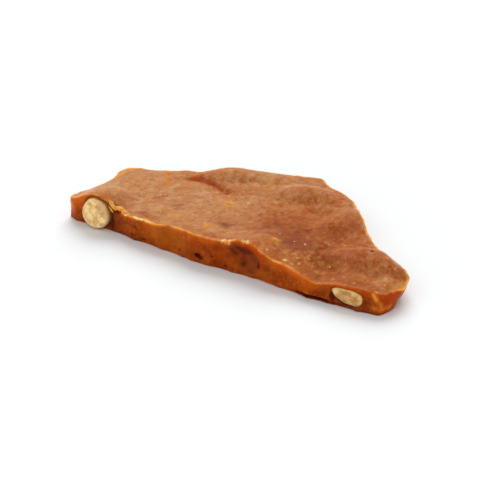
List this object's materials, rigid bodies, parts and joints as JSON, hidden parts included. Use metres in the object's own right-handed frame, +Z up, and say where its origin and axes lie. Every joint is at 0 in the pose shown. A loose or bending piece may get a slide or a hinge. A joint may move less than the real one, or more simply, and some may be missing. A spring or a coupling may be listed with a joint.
{
  "type": "peanut brittle",
  "caption": "Broken slab of caramel peanut brittle with a wavy satin top, glassy broken edges and whole and cut peanuts showing at its rim.",
  "frame": {"origin": "centre of the bounding box in plan, on the flat underside that the slab rests on", "axes": "+X along the long front edge, +Y towards the pointed back edge, +Z up from the flat underside"},
  "size_m": [0.109, 0.0548, 0.0104],
  "materials": {
    "caramel_candy": "glassy caramel with a satin top skin",
    "roasted_peanut": "matt cream cut peanut",
    "peanut_skin": "thin satin red-brown peanut skin"
  },
  "bodies": {
    "root": {"candy_slab": "caramel_candy", "peanut_left_end": "roasted_peanut", "peanut_front_right": "roasted_peanut", "peanut_back_right": "roasted_peanut", "peanut_back_left": "peanut_skin"}
  },
  "joints": []
}
